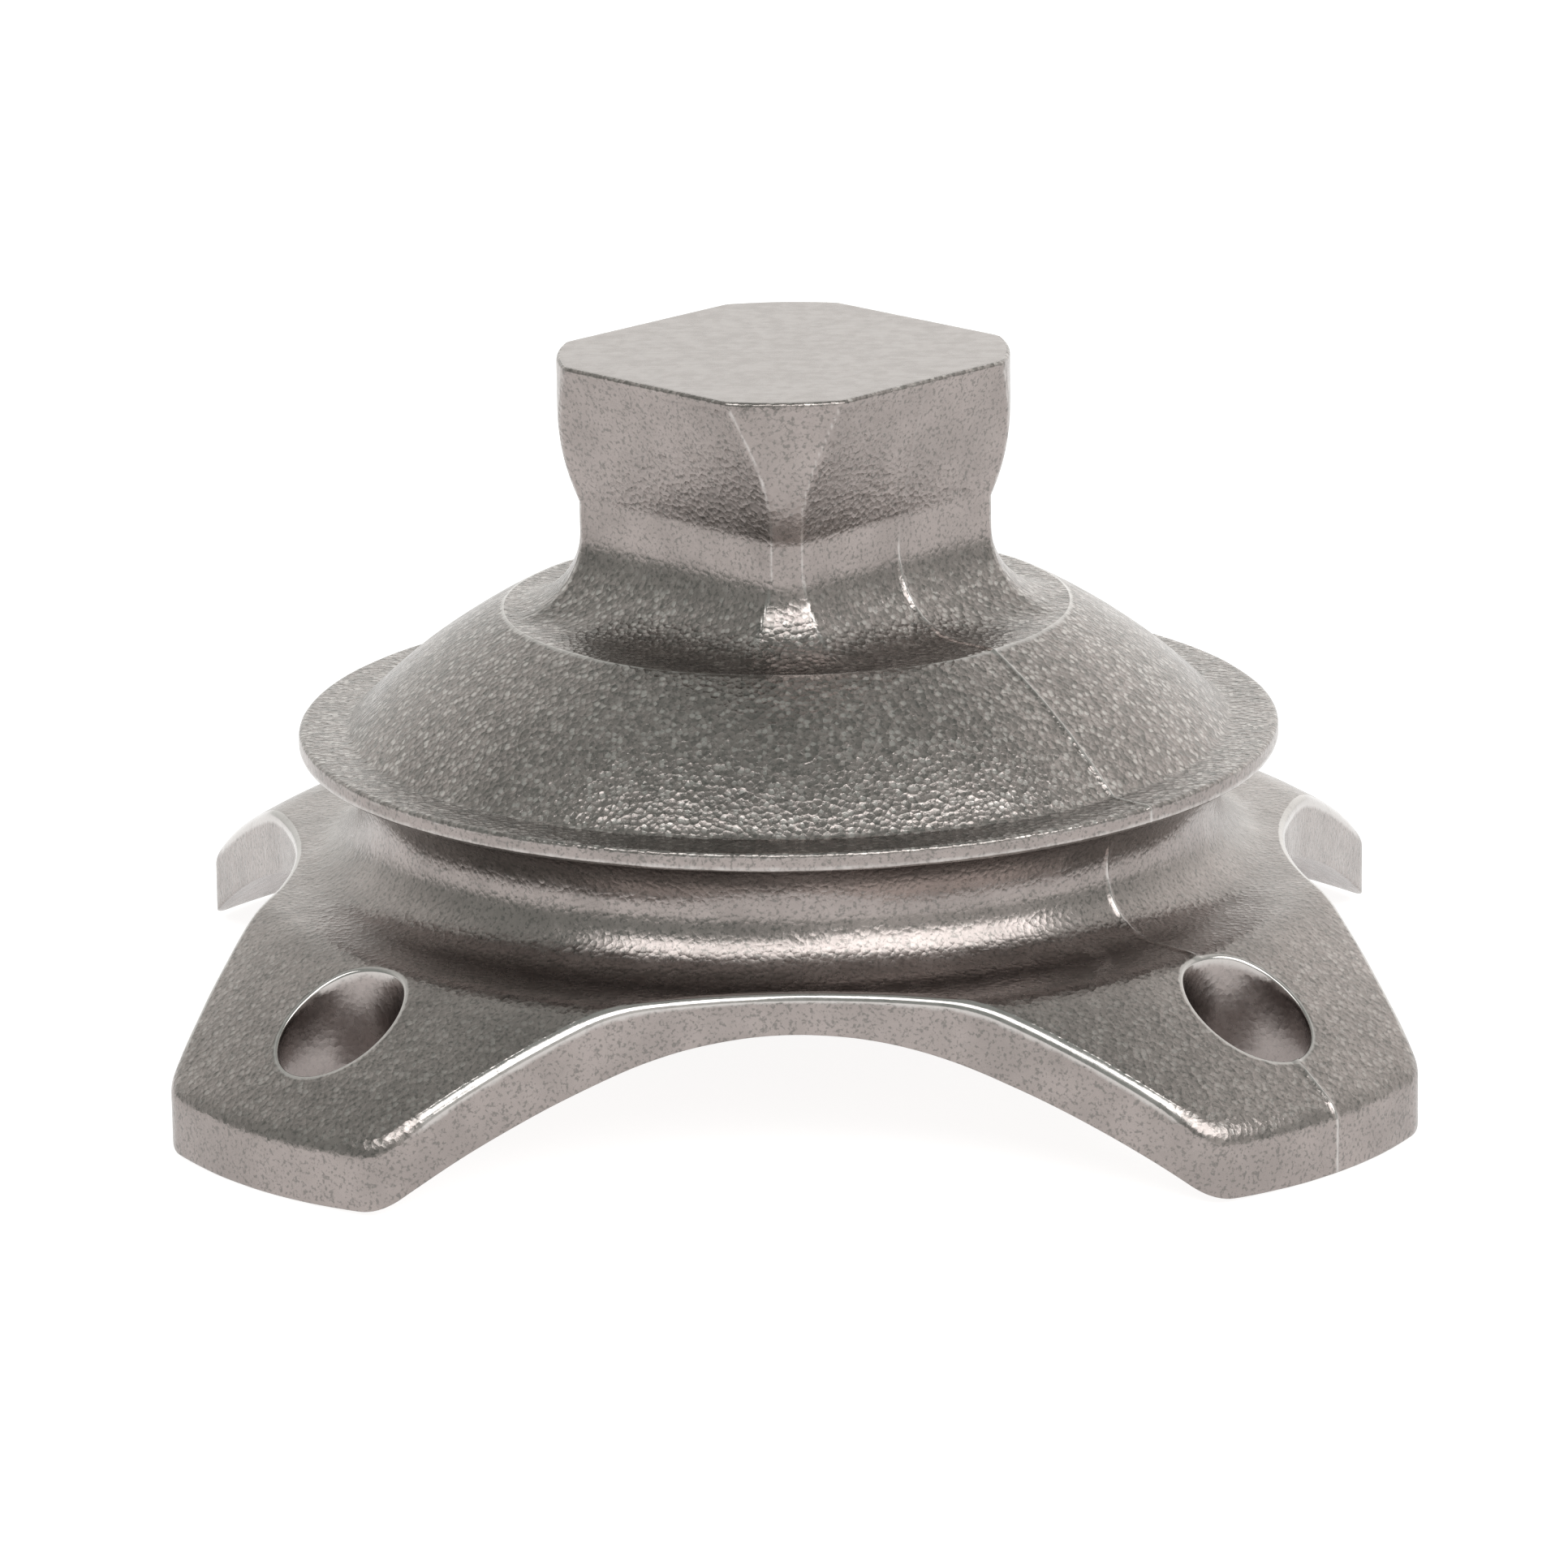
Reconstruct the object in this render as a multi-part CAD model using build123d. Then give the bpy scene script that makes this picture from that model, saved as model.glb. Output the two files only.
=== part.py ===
from build123d import *
import math
import os

# Male pyramid adapter with a curved four-foot plate, one stainless steel casting.
# Millimetres, +Z up. The axis of the adapter is Z and the four feet stand on Z = 0.
# The front faces -Y: the feet and their holes lie on the diagonals, 45 degrees off X and Y.

# ---- heights above the ground plane of the feet ----
brim_top_z = 15.70            # flat upper face of the thin brim
plate_land_drop = 6.65        # brim top down to the flat land at the foot of the cove
head_rise = 18.45             # brim top up to the top face of the head

# ---- pyramid head ----
head_top_half = 9.55          # half of the width across flats at the top face
face_slope_deg = 15.0         # each face leans inward going down
face_slope_height = 7.20      # height of the leaning part of a face
corner_top_radius = 11.03     # coaxial surface that cuts the four corners: a cylinder at the top
corner_straight_height = 2.60 # height of that cylinder, below which the cut curves inward
corner_strip_inset = 0.73     # how far the lower corners are cut back along the diagonal
flare_radius = 4.0            # concave flare from the neck to the flat ring
corner_flare_radius = 3.70    # the same flare where the corners are turned
head_edge_break = 0.20        # chamfer around the top face

# ---- dome and brim ----
ring_radius = 13.90           # flat ring ends here in a crisp edge
dome_radius = 29.80           # spherical bearing surface
dome_foot_radius = 21.65      # dome meets the brim here
dome_foot_fillet = 0.40       # small concave corner there
ring_edge_round = 0.12        # edge break of the ring
brim_radius = 24.05
brim_thickness = 0.92
brim_edge_round = 0.20

# ---- cove under the brim ----
cove_radius = 3.00            # round groove between brim and plate
cove_neck_radius = 21.20      # smallest radius of the groove

# ---- curved plate ----
land_radius = 27.20           # flat land ends here and the plate curves down
plate_top_radius = 56.80      # spherical upper surface of the feet
plate_bottom_radius = 58.00   # spherical underside, which follows the end of a socket
land_slope_drop = 0.10        # the land falls this little from the cove to its edge
land_edge_round = 1.20        # soft edge where the plate starts to curve down

# ---- outline between the feet ----
foot_reach = 35.80            # distance from the axis to the middle of a foot's end wall
foot_end_radius = 27.20       # arc of the end wall
scallop_neck = 24.50          # distance from the axis to the middle of a scallop
scallop_radius = 24.50        # arc in the middle of a scallop
flank_deg = 19.4              # straight flanks that run out to the feet
foot_corner_round = 2.40      # vertical corners of the feet
foot_edge_round = 0.45        # rounded upper edges of the plate

# ---- screw holes, one in each foot ----
hole_circle_radius = 30.20    # distance from the axis to each hole, which runs parallel to Z
hole_radius = 3.00
pad_radius = 5.00             # flat pad around each hole on the underside
pad_z = 3.40                  # height of the pad's flat face
pad_rise = 4.00               # the pad's drafted side is this tall, most of it inside the plate
pad_draft = 0.50              # and this much wider at its top

# ---- cored pocket under the dome ----
pocket_radius = 12.50
pocket_roof_rise = 0.60       # roof of the pocket above the brim top plane
pocket_draft = 1.20           # the mouth is this much wider than the roof
pocket_round = 2.50

cut_overrun = 4.0             # how far the turned body runs past the feet before it is cut to outline

# ---- worked out from the sizes above ----
head_top_z = brim_top_z + head_rise
dome_centre_z = brim_top_z - math.sqrt(dome_radius**2 - dome_foot_radius**2)
annulus_z = dome_centre_z + math.sqrt(dome_radius**2 - ring_radius**2)
land_z = brim_top_z - plate_land_drop
neck_half = head_top_half - face_slope_height * math.tan(math.radians(face_slope_deg))
neck_top_z = head_top_z - face_slope_height
flare_top_z = annulus_z + flare_radius
corner_neck_radius = math.sqrt(2) * neck_half - corner_strip_inset
brim_bottom_z = brim_top_z - brim_thickness
cove_centre_r = cove_neck_radius + cove_radius
cove_centre_z = land_z + cove_radius
land_edge_z = land_z - land_slope_drop
plate_top_centre_z = land_edge_z - math.sqrt(plate_top_radius**2 - land_radius**2)
plate_bottom_centre_z = -math.sqrt(plate_bottom_radius**2 - foot_reach**2)
FEET = (45, 135, 225, 315)
SIDES = (0, 90, 180, 270)


def point_on_sphere(radius, centre_z, r):
    """Point of the XZ half plane at distance r from the axis on a sphere centred on the axis."""
    return (r, centre_z + math.sqrt(radius**2 - r**2))


def point_on_cove(degrees):
    """Point of the XZ half plane on the cove's circle, 0 degrees pointing away from the axis."""
    angle = math.radians(degrees)
    return (cove_centre_r + cove_radius * math.cos(angle), cove_centre_z + cove_radius * math.sin(angle))


def revolved(edges, rounds=()):
    """Solid of revolution about Z from a closed outline in XZ, with (point, radius) rounds on its corners."""
    face = make_face(Plane.XZ * edges)
    for (x, z), radius in rounds:
        corner = face.vertices().sort_by_distance((x, 0, z))[0]
        face = fillet(corner, radius)
    return revolve(face, Axis.Z, 360)


def make_body():
    """Plate, cove, brim, dome and flat ring, turned about the axis."""
    ring_edge = (ring_radius, annulus_z)
    dome_middle = point_on_sphere(dome_radius, dome_centre_z, (ring_radius + dome_foot_radius) / 2)
    dome_foot = (dome_foot_radius, brim_top_z)
    cove_top_rise = brim_bottom_z - cove_centre_z
    cove_start_deg = 180 - math.degrees(math.asin(cove_top_rise / cove_radius))
    cove_start = point_on_cove(cove_start_deg)
    outer_r = foot_reach + cut_overrun
    land_edge = (land_radius, land_edge_z)
    top_middle = point_on_sphere(plate_top_radius, plate_top_centre_z, (land_radius + outer_r) / 2)
    top_end = point_on_sphere(plate_top_radius, plate_top_centre_z, outer_r)
    bottom_end = point_on_sphere(plate_bottom_radius, plate_bottom_centre_z, outer_r)
    bottom_middle = point_on_sphere(plate_bottom_radius, plate_bottom_centre_z, outer_r / 2)
    bottom_axis = point_on_sphere(plate_bottom_radius, plate_bottom_centre_z, 0)
    outline = Curve() + [
        Line((0, annulus_z), ring_edge),
        ThreePointArc(ring_edge, dome_middle, dome_foot),
        Line(dome_foot, (brim_radius, brim_top_z)),
        Line((brim_radius, brim_top_z), (brim_radius, brim_bottom_z)),
        Line((brim_radius, brim_bottom_z), cove_start),
        ThreePointArc(cove_start, point_on_cove(200), point_on_cove(270)),
        Line(point_on_cove(270), land_edge),
        ThreePointArc(land_edge, top_middle, top_end),
        Line(top_end, bottom_end),
        ThreePointArc(bottom_end, bottom_middle, bottom_axis),
        Line(bottom_axis, (0, annulus_z)),
    ]
    rounds = (
        (ring_edge, ring_edge_round),
        (dome_foot, dome_foot_fillet),
        ((brim_radius, brim_top_z), brim_edge_round),
        ((brim_radius, brim_bottom_z), brim_edge_round),
        (land_edge, land_edge_round),
    )
    return revolved(outline, rounds)


def face_bar(angle):
    """Long bar with the profile of one pair of head faces, which the square head is cut from."""
    reach = head_top_half + 2 * flare_radius
    flare_end = neck_half + flare_radius
    flare_mid = flare_radius * (1 - math.sqrt(0.5))
    right = Curve() + [
        Line((0, annulus_z), (flare_end, annulus_z)),
        ThreePointArc(
            (flare_end, annulus_z),
            (neck_half + flare_mid, annulus_z + flare_mid),
            (neck_half, flare_top_z),
        ),
        Line((neck_half, flare_top_z), (neck_half, neck_top_z)),
        Line((neck_half, neck_top_z), (head_top_half, head_top_z)),
        Line((head_top_half, head_top_z), (0, head_top_z)),
        Line((0, head_top_z), (0, annulus_z)),
    ]
    half = extrude(make_face(Plane.XZ * right), reach, both=True)
    return Rot(0, 0, angle) * (half + mirror(half, Plane.YZ))


def corner_cutter():
    """Turned envelope of the head, which cuts its four corners and gives them their flare."""
    straight_end_z = head_top_z - corner_straight_height
    barrel_height = straight_end_z - neck_top_z
    narrowing = corner_top_radius - corner_neck_radius
    barrel_radius = (barrel_height**2 + narrowing**2) / (2 * narrowing)
    half_turn = math.asin(barrel_height / barrel_radius) / 2
    barrel_middle = (
        corner_top_radius - barrel_radius * (1 - math.cos(half_turn)),
        straight_end_z - barrel_radius * math.sin(half_turn),
    )
    flare_end = (corner_neck_radius + corner_flare_radius, annulus_z)
    flare_mid = corner_flare_radius * (1 - math.sqrt(0.5))
    corner_flare_top_z = annulus_z + corner_flare_radius
    outline = Curve() + [
        Line((0, annulus_z), flare_end),
        ThreePointArc(
            flare_end,
            (corner_neck_radius + flare_mid, annulus_z + flare_mid),
            (corner_neck_radius, corner_flare_top_z),
        ),
        Line((corner_neck_radius, corner_flare_top_z), (corner_neck_radius, neck_top_z)),
        ThreePointArc((corner_neck_radius, neck_top_z), barrel_middle, (corner_top_radius, straight_end_z)),
        Line((corner_top_radius, straight_end_z), (corner_top_radius, head_top_z)),
        Line((corner_top_radius, head_top_z), (0, head_top_z)),
        Line((0, head_top_z), (0, annulus_z)),
    ]
    return revolved(outline)


def make_head():
    """Square head, wider at the top, with turned corners and a flare down to the flat ring."""
    head = (face_bar(45) & face_bar(135)) & corner_cutter()
    top_edges = head.faces().sort_by(Axis.Z)[-1].edges()
    return chamfer(top_edges, head_edge_break)


def make_outline():
    """Plan outline of the plate: rounded foot ends with a scallop cut between each two feet."""
    flank = math.radians(flank_deg)
    flank_x = scallop_radius * math.sin(flank)
    flank_y = scallop_neck + scallop_radius * (1 - math.cos(flank))
    reach_y = flank_y + (foot_reach - flank_x) * math.tan(flank)
    far_y = reach_y + foot_reach
    scallop = make_face(
        Curve() + [
            ThreePointArc((-flank_x, flank_y), (0, scallop_neck), (flank_x, flank_y)),
            Line((flank_x, flank_y), (foot_reach, reach_y)),
            Line((foot_reach, reach_y), (foot_reach, far_y)),
            Line((foot_reach, far_y), (-foot_reach, far_y)),
            Line((-foot_reach, far_y), (-foot_reach, reach_y)),
            Line((-foot_reach, reach_y), (-flank_x, flank_y)),
        ]
    )
    outline = Circle(scallop_neck)
    for foot in FEET:
        outline = outline + Rot(0, 0, foot) * Pos(foot_reach - foot_end_radius, 0) * Circle(foot_end_radius)
    for side in SIDES:
        outline = outline - Rot(0, 0, side) * scallop
    corners = outline.vertices().filter_by(lambda v: math.hypot(v.X, v.Y) > foot_reach - 1)
    return fillet(corners, foot_corner_round)


def make_pocket():
    """Cored pocket under the dome, with a drafted wall and a rounded roof."""
    roof_z = brim_top_z + pocket_roof_rise
    roof_r = pocket_radius - pocket_draft
    corner = (roof_r, roof_z)
    outline = Curve() + [
        Line((0, 0), (pocket_radius, 0)),
        Line((pocket_radius, 0), corner),
        Line(corner, (0, roof_z)),
        Line((0, roof_z), (0, 0)),
    ]
    return revolved(outline, ((corner, pocket_round),))


def make_pad():
    """Drafted pad on the +X axis that thickens the underside round a hole, held below the upper surface."""
    below_top = Pos(0, 0, plate_top_centre_z) * Sphere(plate_top_radius - 1)
    cone = Cone(pad_radius, pad_radius + pad_draft, pad_rise)
    return Pos(hole_circle_radius, 0, pad_z + pad_rise / 2) * cone & below_top


def upper_rim(casting):
    """Edges where the plate's outline walls meet its upper surface."""
    wall = make_outline().face().outer_wire()

    def on_rim(edge):
        middle = edge @ 0.5
        r = math.hypot(middle.X, middle.Y)
        underside_z = point_on_sphere(plate_bottom_radius, plate_bottom_centre_z, r)[1]
        upright = edge.geom_type == GeomType.LINE
        on_wall = wall.distance_to(Vertex(middle.X, middle.Y, 0)) < 0.01
        return on_wall and not upright and middle.Z > underside_z + 1

    return casting.edges().filter_by(on_rim)


def make_casting():
    """The whole adapter: turned body cut to the plate's outline, head, pocket and screw holes."""
    outline = make_outline()
    casting = make_body()
    for foot in FEET:
        casting = casting + Rot(0, 0, foot) * make_pad()
    casting = casting & extrude(outline, head_top_z)
    casting = casting + make_head() - make_pocket()
    for foot in FEET:
        hole = Cylinder(hole_radius, head_top_z)
        casting = casting - Rot(0, 0, foot) * Pos(hole_circle_radius, 0, 0) * hole
    return fillet(upper_rim(casting), foot_edge_round)


casting = make_casting()
os.makedirs("parts", exist_ok=True)
export_step(casting, "parts/adapter_casting.step")
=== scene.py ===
"""Looks of a male pyramid adapter: one stainless steel casting on a pale floor.

The casting is computed here from the same driving dimensions as its CAD node, and stands for
that node. Its lengths are millimetres until make_casting turns them into metres. The floor and
the lights are in metres.
"""
import math

import bpy
import numpy as np
from mathutils import Matrix, Vector, noise
from mathutils.geometry import delaunay_2d_cdt


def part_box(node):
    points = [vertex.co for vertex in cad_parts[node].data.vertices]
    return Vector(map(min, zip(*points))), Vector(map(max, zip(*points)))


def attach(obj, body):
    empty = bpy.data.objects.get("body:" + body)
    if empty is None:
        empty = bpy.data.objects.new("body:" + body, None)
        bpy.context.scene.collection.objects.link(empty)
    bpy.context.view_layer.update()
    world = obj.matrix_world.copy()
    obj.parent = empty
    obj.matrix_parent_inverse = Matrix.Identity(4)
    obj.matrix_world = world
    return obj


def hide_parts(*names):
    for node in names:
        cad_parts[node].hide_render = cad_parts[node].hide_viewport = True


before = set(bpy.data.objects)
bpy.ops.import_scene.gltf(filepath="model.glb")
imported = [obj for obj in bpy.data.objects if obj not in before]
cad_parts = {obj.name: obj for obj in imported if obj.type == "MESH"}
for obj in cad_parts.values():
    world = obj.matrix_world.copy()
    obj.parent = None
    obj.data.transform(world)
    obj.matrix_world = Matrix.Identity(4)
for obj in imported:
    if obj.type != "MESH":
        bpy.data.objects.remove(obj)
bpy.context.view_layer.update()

MM = 0.001
NODE = "adapter_casting"
low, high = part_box(NODE)
TOTAL_HEIGHT = (high[2] - low[2]) / MM

# ---- heights above the plane of the feet ----
HEAD_RISE = 18.45
LAND_BELOW_BRIM = 6.65
HEAD_TOP_Z = TOTAL_HEIGHT
BRIM_TOP_Z = TOTAL_HEIGHT - HEAD_RISE
LAND_Z = BRIM_TOP_Z - LAND_BELOW_BRIM

# ---- pyramid head ----
HEAD_TOP_HALF = 9.55
FACE_SLOPE = math.radians(15)
FACE_HEIGHT = 7.20
CORNER_TOP_RADIUS = 11.03
CORNER_STRAIGHT = 2.60
CORNER_INSET = 0.73
FLARE_RADIUS = 4.0
CORNER_FLARE = 3.70
HEAD_EDGE_ROUND = 0.20
CORNER_BLEND = 0.13

# ---- dome and brim ----
RING_RADIUS = 13.90
RING_ROUND = 0.16
DOME_RADIUS = 29.80
DOME_FOOT_RADIUS = 21.65
DOME_FOOT_FILLET = 0.40
BRIM_RADIUS = 24.05
BRIM_THICKNESS = 0.92
BRIM_ROUND = 0.22

# ---- cove and plate ----
COVE_RADIUS = 3.0
COVE_NECK = 21.20
JOIN_RADIUS = 23.40
LAND_RADIUS = 27.20
LAND_DROP = 0.10
LAND_BLEND = 0.50
PLATE_TOP_RADIUS = 56.80
PLATE_BOTTOM_RADIUS = 58.00
FOOT_REACH = 35.80
FOOT_END_RADIUS = 27.20
SCALLOP_NECK = 24.50
SCALLOP_RADIUS = 24.50
FLANK = math.radians(19.4)
FOOT_CORNER = 2.40
RIM_ROUND = 0.40
TIP_ROUND = 0.60
TIP_START = 33.2
TIP_BLEND = 2.0
UNDER_ROUND = 0.15

# ---- holes, pads round their lower ends, and pocket ----
HOLE_CIRCLE = 30.20
HOLE_RADIUS = 3.00
HOLE_ROUND = 0.14
PAD_RADIUS = 5.00
PAD_Z = 3.40
PAD_RISE = 4.00
PAD_DRAFT = 0.50
PAD_EDGE_BLEND = 0.12
PAD_ROOT_BLEND = 0.25
POCKET_RADIUS = 12.50
POCKET_ROOF_RISE = 0.60
POCKET_DRAFT = 1.20
POCKET_ROUND = 2.50
MOUTH_ROUND = 0.3

# ---- mould seam and cast skin ----
SEAM_ANGLE = math.radians(-45)
SEAM_WIDTH = 0.12
SEAM_RISE = 0.10
FLARE_SEAM_RISE = 0.11
FACE_SEAM_RISE = 0.02
WIDE_SWELL = 0.016
FINE_SWELL = 0.004

# ---- wear of the edges together with painted highlight lines along them, from 0 for plain skin to 1 for bright metal ----
TOP_BORDER_WEAR_AND_HIGHLIGHT = 0.2
TOP_EDGE_WEAR_AND_HIGHLIGHT = 0.3
STRIP_EDGE_WEAR_AND_HIGHLIGHT = 0.65
STRIP_EDGE_WIDTH = 0.11
RING_WEAR_AND_HIGHLIGHT = 0.75
DOME_FOOT_WEAR_AND_HIGHLIGHT = 0.25
BRIM_FACE_WEAR_AND_HIGHLIGHT = 0.1
BRIM_UPPER_WEAR_AND_HIGHLIGHT = 0.4
BRIM_LOWER_WEAR_AND_HIGHLIGHT = 0.6
RIM_START_WEAR_AND_HIGHLIGHT = 0.1
RIM_WEAR_AND_HIGHLIGHT = 0.8
UNDER_RIM_WEAR_AND_HIGHLIGHT = 0.3
HOLE_UPPER_WEAR_AND_HIGHLIGHT = 0.9
HOLE_WALL_WEAR_AND_HIGHLIGHT = 0.1
HOLE_LOWER_WEAR_AND_HIGHLIGHT = 0.5
HOLE_WALL_MACHINED = 0.6
SEAM_WEAR_AND_HIGHLIGHT_PER_MM = 8

# ---- mesh density ----
COLUMNS = 432
SEAM_OFFSETS = (0.0, 0.06, 0.13, 0.22, 0.36)
HOLE_COLUMNS = 96
PAD_COLUMNS = 96
PAD_RING_OFFSETS = (-0.25, -0.1, 0, 0.09, 0.18, 0.27, 0.36, 0.5)
POCKET_COLUMNS = 180
ROW_PITCH = 0.33
DOME_PITCH = 0.30
OUTLINE_PITCH = 0.4
FOOT_CORNER_PITCH = 0.25
SEAM_PITCH = 0.36
TOP_PITCH = 0.44
UNDER_PITCH = 0.85
BORDER_GAP = 0.62
EXTRA_GAP = 0.16

# ---- material: colours, and scales in cells per metre ----
DARK_SKIN = (0.276, 0.244, 0.232, 1)
LIGHT_SKIN = (0.332, 0.293, 0.279, 1)
SPECK = (0.12, 0.118, 0.11, 1)
# painted sparkle: blast dimples painted dark, and a few painted bright as glints
PAINTED_DARK_SPARKLE = (0.14, 0.140, 0.130, 1)
PAINTED_GLINT = (0.78, 0.75, 0.72, 1)
# burnished edge colour, which also paints highlight lines along the edges
BURNISHED_AND_HIGHLIGHT = (0.52, 0.495, 0.48, 1)
MACHINED = (0.325, 0.290, 0.279, 1)
BLAST_SCALE = 3500
GRAIN_SCALE = 5200
PIT_SCALE = 1300
CLOUD_SCALE = 240
LINE_SCALE = 2600
BUMP_HEIGHT = 0.000036

# ---- surroundings: direction of each soft light, how tightly gathered, how bright ----
SOFT_LOBES = (
    ((0.05, 1.0, 0.04), 12.0, 0.75),
    ((0.66, 0.68, 0.36), 5.0, 0.90),
    ((-0.62, 0.70, 0.36), 8.0, 0.60),
    ((0.55, -0.83, 0.10), 6.0, 0.45),
)
ROOM_LEVEL = 0.45
BOX_DISTANCE = 0.6
FLOOR_HALF = 3.0

# ---- camera ----
CAMERA_DISTANCE = 434.4
CAMERA_ELEVATION = math.radians(15.847)
CAMERA_AZIMUTH = math.radians(-0.145)
CAMERA_ROLL = math.radians(0.8245)
AIM_X = -0.26
AIM_BELOW_BRIM = 3.42
SENSOR_WIDTH = 36
HALF_VIEW_TANGENT = 0.08894

# ---- worked out ----
DOME_CENTRE_Z = BRIM_TOP_Z - math.sqrt(DOME_RADIUS**2 - DOME_FOOT_RADIUS**2)
RING_Z = DOME_CENTRE_Z + math.sqrt(DOME_RADIUS**2 - RING_RADIUS**2)
NECK_HALF = HEAD_TOP_HALF - FACE_HEIGHT * math.tan(FACE_SLOPE)
NECK_TOP_Z = HEAD_TOP_Z - FACE_HEIGHT
FLARE_TOP_Z = RING_Z + FLARE_RADIUS
CORNER_NECK = math.sqrt(2) * NECK_HALF - CORNER_INSET
NARROWING = CORNER_TOP_RADIUS - CORNER_NECK
BARREL_HEIGHT = FACE_HEIGHT - CORNER_STRAIGHT
BARREL_RADIUS = (BARREL_HEIGHT**2 + NARROWING**2) / (2 * NARROWING)
BRIM_BOTTOM_Z = BRIM_TOP_Z - BRIM_THICKNESS
COVE_R = COVE_NECK + COVE_RADIUS
COVE_Z = LAND_Z + COVE_RADIUS
LAND_EDGE_Z = LAND_Z - LAND_DROP
PLATE_TOP_Z = LAND_EDGE_Z - math.sqrt(PLATE_TOP_RADIUS**2 - LAND_RADIUS**2)
PLATE_BOTTOM_Z = -math.sqrt(PLATE_BOTTOM_RADIUS**2 - FOOT_REACH**2)


# ---------------------------------------------------------------- small helpers
def smooth_min(a, b, k):
    """The smaller of a and b, with a rounded corner of size k where they cross."""
    h = np.maximum(k - np.abs(a - b), 0) / k
    return np.minimum(a, b) - h * h * k / 4


def steps(start, end, pitch):
    """Evenly spaced values from start to end, both included, about pitch apart."""
    count = max(1, round(abs(end - start) / pitch))
    return [start + (end - start) * i / count for i in range(count + 1)]


def radius_of(points):
    """Distance of each point from the axis."""
    return np.hypot(points[:, 0], points[:, 1])


def direction(angle):
    """Unit vector (x, y) at an angle from +X."""
    return np.array([math.cos(angle), math.sin(angle)])


def circle(turns):
    """Unit vectors (x, y) at each of the angles."""
    return np.stack([np.cos(turns), np.sin(turns)], 1)


def lifted(points, heights):
    """Points (x, y) with a height added to each."""
    return np.column_stack([points, heights])


def hole_centre(quarter):
    """Centre (x, y) of one of the four holes."""
    return HOLE_CIRCLE * direction(SEAM_ANGLE + quarter * math.pi / 2)


class Store:
    """Collects the vertices and faces of the casting, with two values for each vertex."""

    def __init__(self):
        self.points = []
        self.wear_and_highlight = []
        self.machined = []
        self.faces = []
        self.count = 0

    def add(self, points, wear_and_highlight=0.0, machined=0.0):
        """Adds points and returns their indices."""
        first = self.count
        self.points.append(points)
        self.wear_and_highlight.append(np.full(len(points), wear_and_highlight) if np.isscalar(wear_and_highlight) else wear_and_highlight)
        self.machined.append(np.full(len(points), machined))
        self.count += len(points)
        return np.arange(first, self.count)

    def below(self, row, points, wear_and_highlight=0.0, machined=0.0):
        """Adds a closed row and joins it by quads to the row above it. Returns the new row."""
        new = self.add(points, wear_and_highlight, machined)
        self.faces += np.stack([row, new, np.roll(new, -1), np.roll(row, -1)], 1).tolist()
        return new

    def fan(self, row, following, centre):
        """Triangles from each vertex of a row and the one that follows it to a centre."""
        self.faces += np.stack([row, following, np.full(len(row), centre)], 1).tolist()


# ---------------------------------------------------------------- head
def column_angles(radius):
    """Angles of the columns at a radius, drawn close together on both sides of the mould seam."""
    angles = SEAM_ANGLE + np.arange(COLUMNS) * 2 * math.pi / COLUMNS
    for centre in (0, COLUMNS // 2):
        middle = SEAM_ANGLE + centre * 2 * math.pi / COLUMNS
        for k, offset in enumerate(SEAM_OFFSETS):
            turn = math.asin(offset / radius)
            angles[centre + k] = middle + turn
            angles[centre - k] = middle - turn
    return angles


def off_face_angle(angles):
    """How far each angle is from the middle of the nearest head face."""
    off_face = (angles + math.pi / 4) % (math.pi / 2)
    return np.minimum(off_face, math.pi / 2 - off_face)


def circle_row(radius, z):
    return lifted(radius * circle(column_angles(radius)), np.full(COLUMNS, z))


def head_row(half, corner, z):
    """Cross-section of the head: four faces at half from the axis, corners turned to corner."""
    angles = column_angles(half)
    to_face = half / np.cos(off_face_angle(angles))
    radius = smooth_min(to_face, np.full(COLUMNS, corner), CORNER_BLEND)
    return lifted(radius[:, None] * circle(angles), np.full(COLUMNS, z))


def face_half(z):
    """Distance of a head face from the axis at a height."""
    return NECK_HALF + max(0.0, z - NECK_TOP_Z) * math.tan(FACE_SLOPE)


def corner_radius(z):
    """Radius of the turned surface that cuts the corners: cylinder, barrel, neck and flare."""
    drop = min(max(HEAD_TOP_Z - z - CORNER_STRAIGHT, 0), BARREL_HEIGHT)
    barrel = CORNER_TOP_RADIUS - BARREL_RADIUS + math.sqrt(BARREL_RADIUS**2 - drop * drop)
    rise = min(max(RING_Z + CORNER_FLARE - z, 0), CORNER_FLARE)
    return barrel + CORNER_FLARE - math.sqrt(CORNER_FLARE**2 - rise * rise)


def strip_edge_wear_and_highlight(row, half, corner):
    """Wear and painted highlight of a head row: highest where a face meets a turned corner."""
    off_face = off_face_angle(np.arctan2(row[:, 1], row[:, 0]))
    gap = (half / np.cos(off_face) - corner) / STRIP_EDGE_WIDTH
    return STRIP_EDGE_WEAR_AND_HIGHLIGHT * np.exp(-gap * gap)


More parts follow.
